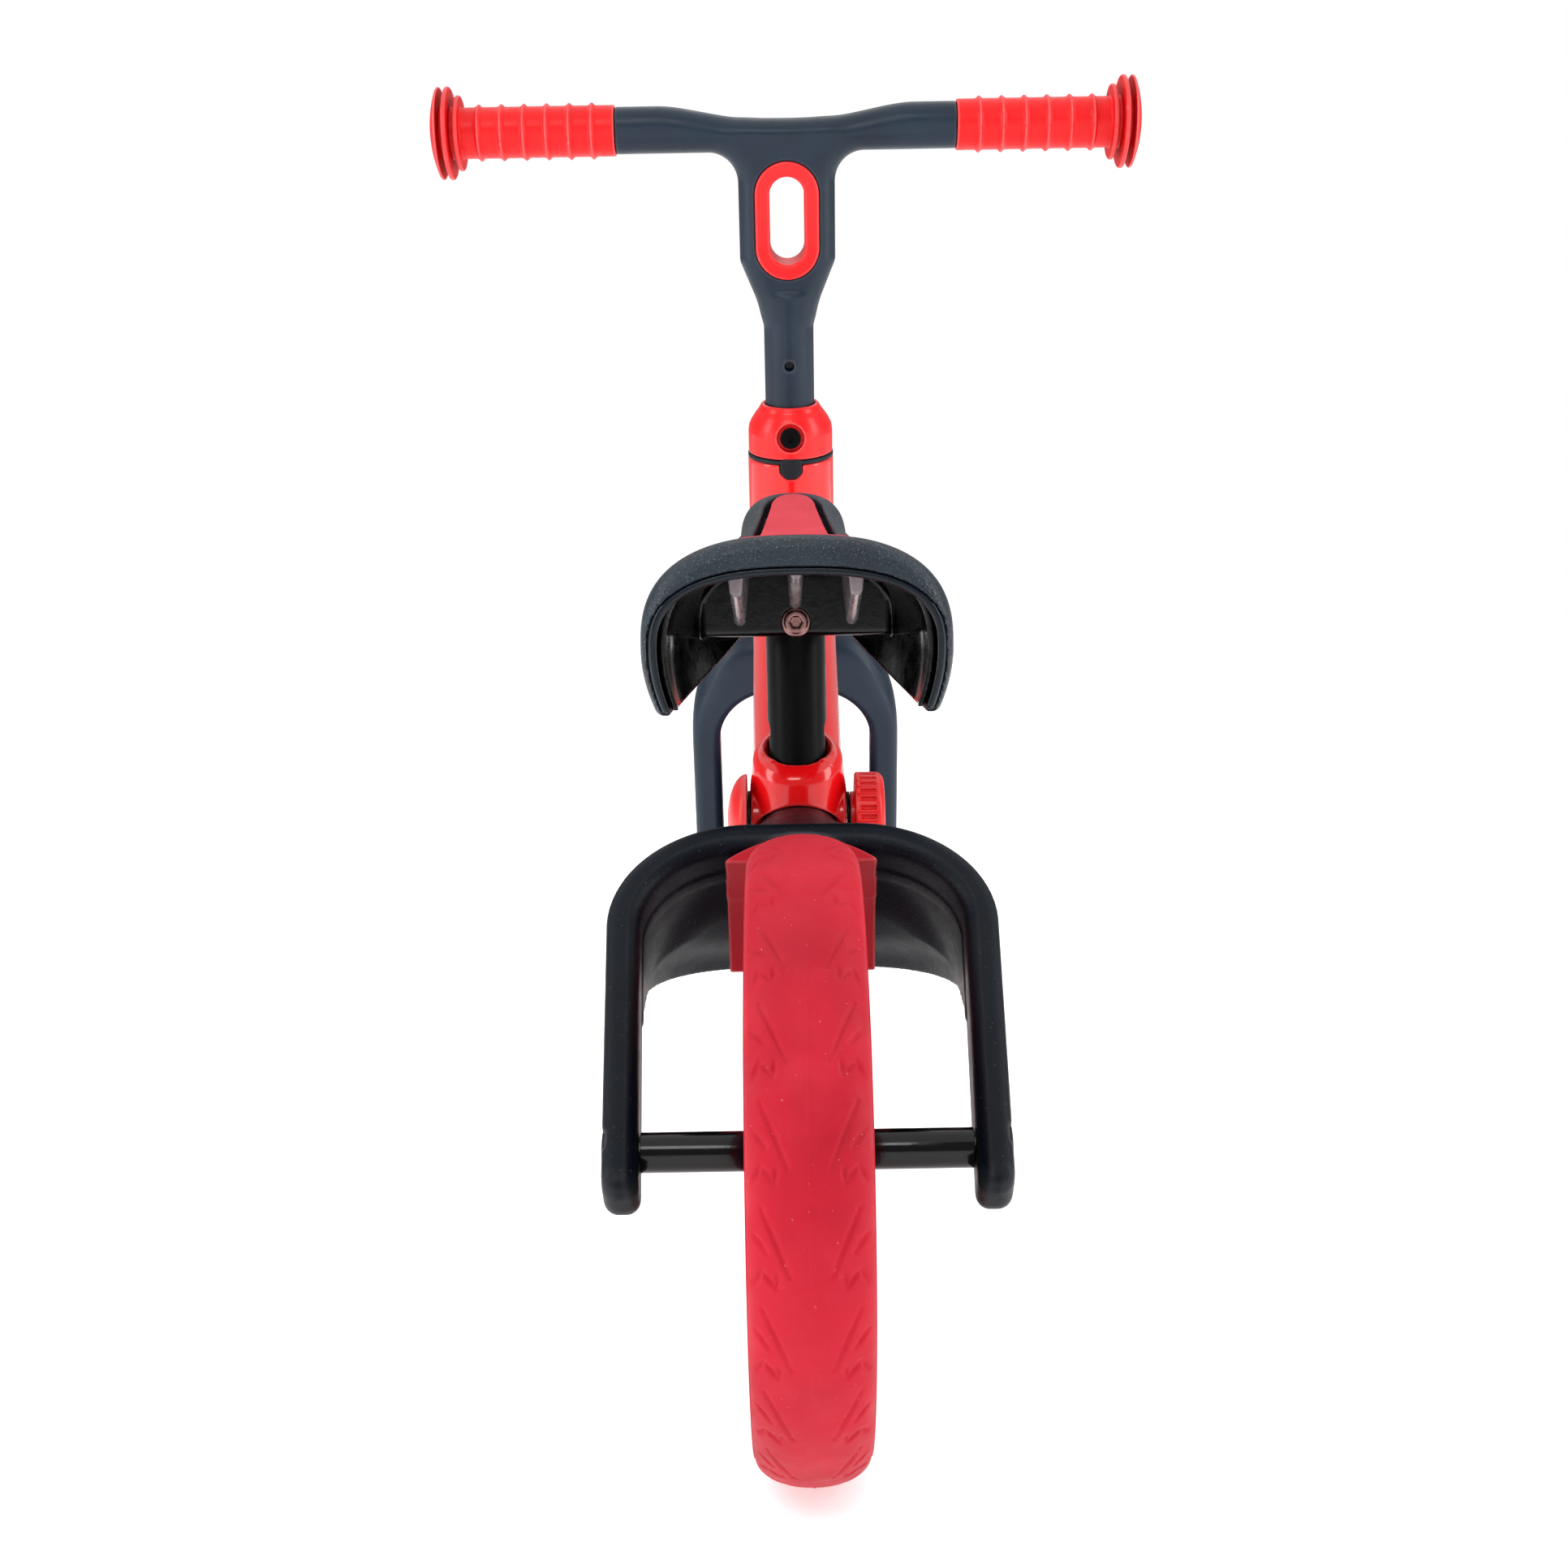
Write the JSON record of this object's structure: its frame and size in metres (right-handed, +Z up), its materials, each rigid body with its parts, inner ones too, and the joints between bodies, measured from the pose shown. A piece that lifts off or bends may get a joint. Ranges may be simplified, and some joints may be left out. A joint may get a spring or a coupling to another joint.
{
  "type": "balance bike",
  "caption": "Toddler's balance bike without pedals: foam-tyred wheels, steered fork, height-adjustable handlebar, sliding saddle with clamp knob and a wide moulded rear fork.",
  "frame": {"origin": "on the ground, midway between the axles and between the sides", "axes": "+Y is forward along the bike, +X is the rider's right, +Z is up"},
  "size_m": [0.384, 0.791, 0.5703],
  "materials": {
    "frame_red": "gloss paint",
    "satin_red": "satin moulded plastic",
    "tyre_red": "matte foam rubber",
    "pad_red": "fine-textured soft plastic",
    "navy": "satin moulded plastic",
    "dark_navy": "grained moulded plastic",
    "slate": "leather-grained moulded plastic",
    "gloss_black": "gloss",
    "satin_black": "satin paint",
    "black_plastic": "satin",
    "grip_red": "satin soft rubber",
    "steel": "zinc plated"
  },
  "bodies": {
    "frame": {"main_frame": "frame_red", "upper_headset_bush": "black_plastic", "lower_headset_bush": "black_plastic", "rear_fork": "dark_navy", "rear_mudguard": "satin_red", "rear_fork_screw": "steel", "knob_bolt": "steel", "knob_cap_left": "satin_red", "cap_washer": "black_plastic", "rear_axle_bolt": "steel", "rear_axle_nut": "steel", "rear_bearing_sleeve": "steel", "rear_spacer_left": "gloss_black", "rear_spacer_right": "gloss_black", "rear_axle_cap_left": "dark_navy", "rear_axle_cap_right": "dark_navy"},
    "fork": {"front_fork": "navy", "steerer_tube": "steel", "height_collar": "satin_red", "collar_bolt": "satin_black", "front_axle_bolt": "steel", "front_axle_nut": "steel", "front_bearing_sleeve": "steel", "front_spacer_left": "gloss_black", "front_spacer_right": "gloss_black", "front_axle_cap_left": "dark_navy", "front_axle_cap_right": "dark_navy"},
    "handlebar": {"handlebar": "navy", "handlebar_trim": "satin_red", "grip_left": "grip_red", "grip_right": "grip_red"},
    "front_wheel": {"front_tyre": "tyre_red", "front_rim": "dark_navy", "front_bearing_left": "steel", "front_bearing_right": "steel"},
    "rear_wheel": {"rear_tyre": "tyre_red", "rear_rim": "dark_navy", "rear_bearing_left": "steel", "rear_bearing_right": "steel"},
    "seat": {"seat_post": "satin_black", "seat_base": "gloss_black", "seat_rim": "slate", "seat_pad": "pad_red", "seat_bolt": "steel", "seat_nut": "steel"},
    "knob_washer": {"knob_washer": "steel"},
    "seat_knob": {"seat_knob": "satin_red"}
  },
  "joints": [
    {"name": "steering", "type": "hinge", "parent": "frame", "child": "fork", "pos_m": [0, 0.21294, 0.32452], "axis": [0, -0.3256, 0.9455], "range_deg": [-45, 45]},
    {"name": "handlebar_height", "type": "slide", "parent": "fork", "child": "handlebar", "axis": [0, -0.3256, 0.9455], "range_m": [-0.039, 0]},
    {"name": "front_wheel_spin", "type": "hinge", "parent": "fork", "child": "front_wheel", "pos_m": [0, 0.2875, 0.108], "axis": [1, 0, 0], "continuous": true},
    {"name": "rear_wheel_spin", "type": "hinge", "parent": "frame", "child": "rear_wheel", "pos_m": [0, -0.2875, 0.108], "axis": [1, 0, 0], "continuous": true},
    {"name": "seat_height", "type": "slide", "parent": "frame", "child": "seat", "axis": [0, 0, 1], "range_m": [-0.04, 0.02]},
    {"name": "knob_travel", "type": "slide", "parent": "frame", "child": "knob_washer", "axis": [1, 0, 0], "range_m": [0, 0.003]},
    {"name": "knob_turn", "type": "hinge", "parent": "knob_washer", "child": "seat_knob", "pos_m": [0.033, -0.0495, 0.193], "axis": [1, 0, 0], "range_deg": [0, 1080]}
  ],
  "couplings": [
    {"joint": "knob_travel", "follows": "knob_turn", "m_per_rad": 0.00015915}
  ]
}
